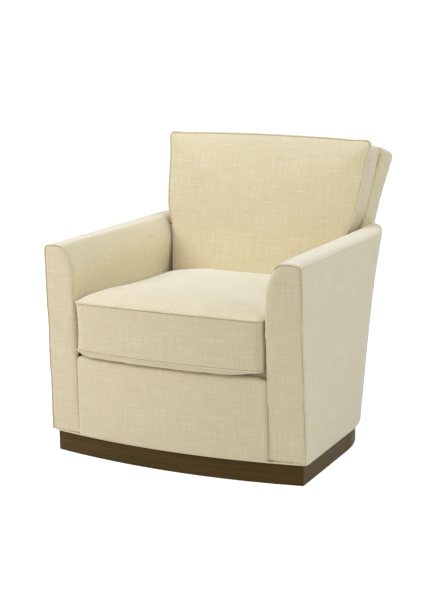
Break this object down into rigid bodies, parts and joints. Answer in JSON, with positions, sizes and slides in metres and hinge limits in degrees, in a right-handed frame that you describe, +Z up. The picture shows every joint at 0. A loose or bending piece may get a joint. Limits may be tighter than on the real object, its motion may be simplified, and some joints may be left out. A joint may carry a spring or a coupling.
{
  "type": "swivel armchair",
  "caption": "Upholstered swivel armchair with level arms, a loose boxed seat cushion and an attached back pillow on a bow-fronted wooden plinth",
  "frame": {"origin": "on the floor under the middle of the outline, between the front of the seat cushion and the rear of the outside back", "axes": "+Z up, front of the chair towards -Y, +X to the sitter's left"},
  "size_m": [0.7974, 0.8686, 0.8613],
  "materials": {
    "plinth_wood": "satin",
    "frame_wood": "matte",
    "glide_plastic": "matte",
    "swivel_steel": "satin",
    "screw_steel": "satin",
    "ball_steel": "polished",
    "spring_steel": "satin",
    "deck_cloth": "matte",
    "dust_cloth": "matte",
    "upholstery": "matte",
    "foam": "matte",
    "zip_plastic": "matte"
  },
  "bodies": {
    "base": {"plinth_front_board": "plinth_wood", "plinth_left_board": "plinth_wood", "plinth_right_board": "plinth_wood", "plinth_back_board": "plinth_wood", "plinth_blocks": "frame_wood", "plinth_cross_rails": "frame_wood", "floor_glides": "glide_plastic", "swivel_lower_plate": "swivel_steel", "swivel_lower_screws": "screw_steel", "swivel_king_bolt": "screw_steel", "swivel_king_nut": "screw_steel"},
    "bearing": {"swivel_ball_cage": "screw_steel", "swivel_balls": "ball_steel"},
    "chair": {"swivel_upper_plate": "swivel_steel", "swivel_upper_screws": "screw_steel", "seat_cross_rails": "frame_wood", "front_seat_rail": "frame_wood", "left_seat_rail": "frame_wood", "right_seat_rail": "frame_wood", "back_seat_rail": "frame_wood", "seat_corner_blocks": "frame_wood", "left_arm_posts": "frame_wood", "right_arm_posts": "frame_wood", "left_arm_rail": "frame_wood", "right_arm_rail": "frame_wood", "left_back_post": "frame_wood", "right_back_post": "frame_wood", "back_top_rail": "frame_wood", "back_lower_rail": "frame_wood", "seat_springs": "spring_steel", "seat_spring_clips": "spring_steel", "back_springs": "spring_steel", "back_spring_clips": "spring_steel", "seat_deck": "deck_cloth", "dust_cover": "dust_cloth", "base_welt": "upholstery", "front_border": "upholstery", "left_arm_face": "upholstery", "right_arm_face": "upholstery", "left_arm_welt": "upholstery", "right_arm_welt": "upholstery", "left_arm_pad": "upholstery", "right_arm_pad": "upholstery", "left_outside_arm": "upholstery", "right_outside_arm": "upholstery", "outside_back_panel": "upholstery", "outside_back_cover": "upholstery", "back_pillow_cover": "upholstery", "back_pillow_foam": "foam", "back_pillow_welt": "upholstery"},
    "cushion": {"seat_cushion_cover": "upholstery", "seat_cushion_foam": "foam", "seat_cushion_welts": "upholstery", "cushion_zip": "zip_plastic"},
    "zip_slider": {"cushion_zip_slider": "screw_steel"}
  },
  "joints": [
    {"name": "swivel", "type": "hinge", "parent": "base", "child": "chair", "pos_m": [0, -0.078, 0.05], "axis": [0, 0, 1], "continuous": true},
    {"name": "bearing_turn", "type": "hinge", "parent": "base", "child": "bearing", "pos_m": [0, -0.078, 0.05], "axis": [0, 0, 1], "continuous": true},
    {"name": "cushion_lift", "type": "slide", "parent": "chair", "child": "cushion", "axis": [0, 0, 1], "range_m": [0, 0.3]},
    {"name": "zip_slide", "type": "slide", "parent": "cushion", "child": "zip_slider", "axis": [1, 0, 0], "range_m": [0, 0.42]}
  ],
  "couplings": [
    {"joint": "bearing_turn", "follows": "swivel", "ratio": 0.5}
  ]
}
